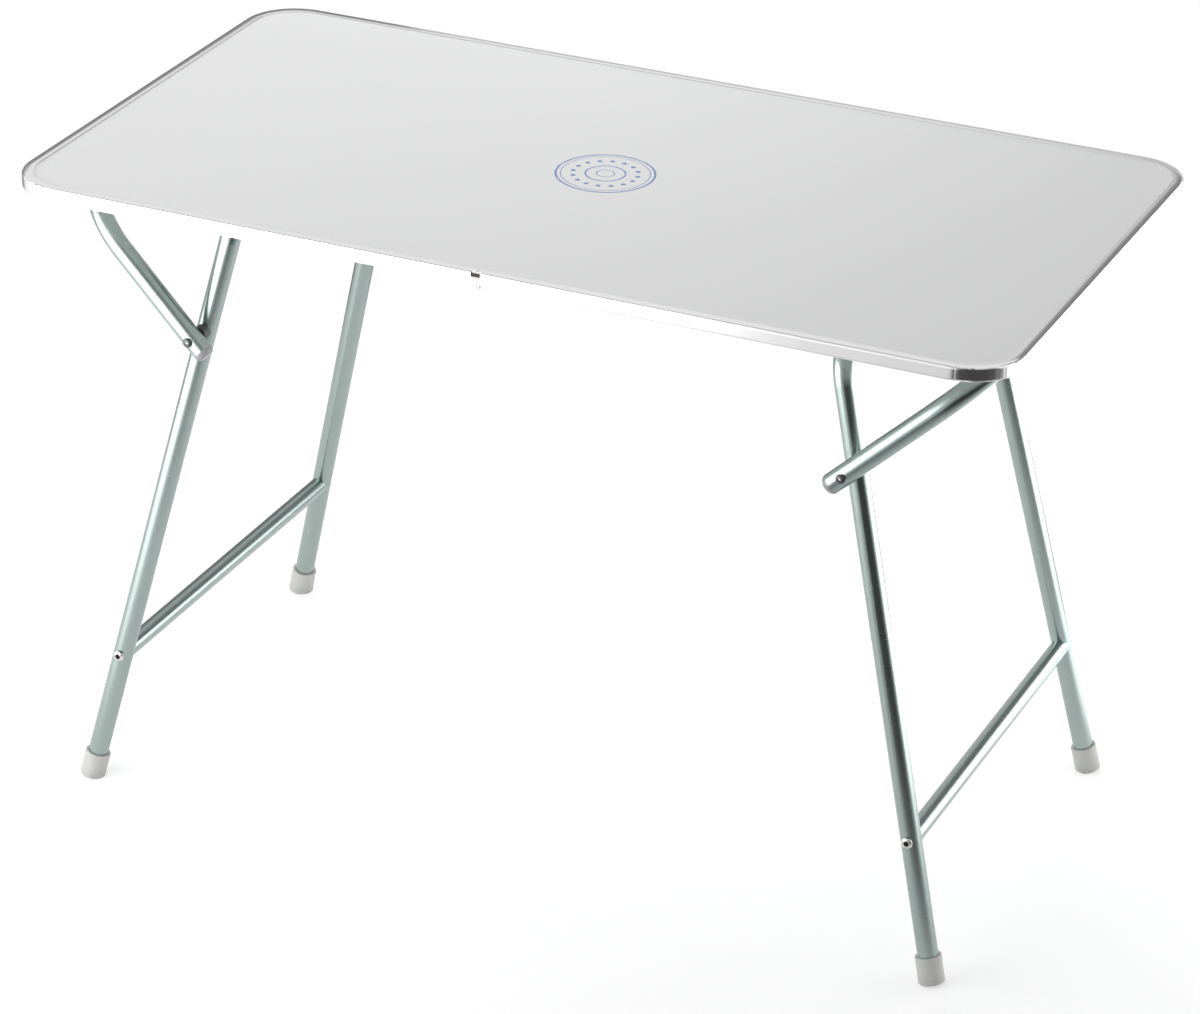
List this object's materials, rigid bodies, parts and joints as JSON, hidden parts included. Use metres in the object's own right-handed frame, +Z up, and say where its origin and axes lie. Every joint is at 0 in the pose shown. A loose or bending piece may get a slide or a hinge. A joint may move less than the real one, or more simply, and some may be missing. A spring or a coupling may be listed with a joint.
{
  "type": "folding table",
  "caption": "Folding camping table: a pale laminated board in an aluminium edge on splayed tube leg frames that fold under it with hooked U-shaped braces.",
  "frame": {"origin": "on the floor, under the middle of the board", "axes": "+X along the board from the left leg frame to the right one, +Y from the front edge to the rear edge, +Z up; the front edge is the long one with the joint of the aluminium edge"},
  "size_m": [1.1, 0.6007, 0.715],
  "materials": {
    "laminate": "smooth low-sheen pale grey laminate with a small printed ornament of blue rings",
    "board_core": "pressed fibre board, hidden between its faces and the edge",
    "backing": "plain backing foil",
    "edge_aluminium": "bright extruded aluminium",
    "clip_plastic": "white moulded plastic",
    "plated_tube": "bright plated steel tube",
    "fastener_steel": "bright zinc-plated steel",
    "rivet_steel": "dull grey steel",
    "cap_plastic": "pale grey moulded plastic",
    "end_plug_plastic": "smooth mid-grey moulded plastic",
    "fitting_plastic": "dark grey moulded plastic"
  },
  "bodies": {
    "top": {"board_core": "board_core", "top_laminate": "laminate", "bottom_laminate": "backing", "edge_profile": "edge_aluminium", "edge_joint_clip": "clip_plastic", "left_front_saddle": "fitting_plastic", "left_front_hook": "fitting_plastic", "left_rear_saddle": "fitting_plastic", "left_rear_hook": "fitting_plastic", "left_saddle_screws": "fastener_steel", "left_hook_screws": "fastener_steel", "right_front_saddle": "fitting_plastic", "right_front_hook": "fitting_plastic", "right_rear_saddle": "fitting_plastic", "right_rear_hook": "fitting_plastic", "right_saddle_screws": "fastener_steel", "right_hook_screws": "fastener_steel"},
    "left_legs": {"left_leg_frame": "plated_tube", "left_crossbar": "plated_tube", "left_crossbar_front_plug": "cap_plastic", "left_front_foot": "cap_plastic", "left_front_spacer": "fitting_plastic", "left_crossbar_rear_plug": "cap_plastic", "left_rear_foot": "cap_plastic", "left_rear_spacer": "fitting_plastic", "left_crossbar_screws": "fastener_steel", "left_brace_rivets": "rivet_steel"},
    "left_brace": {"left_brace": "plated_tube", "left_brace_front_plug": "end_plug_plastic", "left_brace_rear_plug": "end_plug_plastic"},
    "right_legs": {"right_leg_frame": "plated_tube", "right_crossbar": "plated_tube", "right_crossbar_front_plug": "cap_plastic", "right_front_foot": "cap_plastic", "right_front_spacer": "fitting_plastic", "right_crossbar_rear_plug": "cap_plastic", "right_rear_foot": "cap_plastic", "right_rear_spacer": "fitting_plastic", "right_crossbar_screws": "fastener_steel", "right_brace_rivets": "rivet_steel"},
    "right_brace": {"right_brace": "plated_tube", "right_brace_front_plug": "end_plug_plastic", "right_brace_rear_plug": "end_plug_plastic"}
  },
  "joints": [
    {"name": "left_legs_fold", "type": "hinge", "parent": "top", "child": "left_legs", "pos_m": [-0.33301, 0, 0.6839], "axis": [0, -1, 0], "range_deg": [0, 103.25]},
    {"name": "right_legs_fold", "type": "hinge", "parent": "top", "child": "right_legs", "pos_m": [0.33819, 0, 0.6619], "axis": [0, 1, 0], "range_deg": [0, 101.25]},
    {"name": "left_brace_swing", "type": "hinge", "parent": "left_legs", "child": "left_brace", "pos_m": [-0.36595, 0, 0.544], "axis": [0, 1, 0], "range_deg": [0, 60.5]},
    {"name": "right_brace_swing", "type": "hinge", "parent": "right_legs", "child": "right_brace", "pos_m": [0.36595, 0, 0.544], "axis": [0, -1, 0], "range_deg": [0, 60.5]}
  ],
  "couplings": [
    {"joint": "left_brace_swing", "follows": "left_legs_fold", "ratio": 0.5859},
    {"joint": "right_brace_swing", "follows": "right_legs_fold", "ratio": 0.5975}
  ]
}
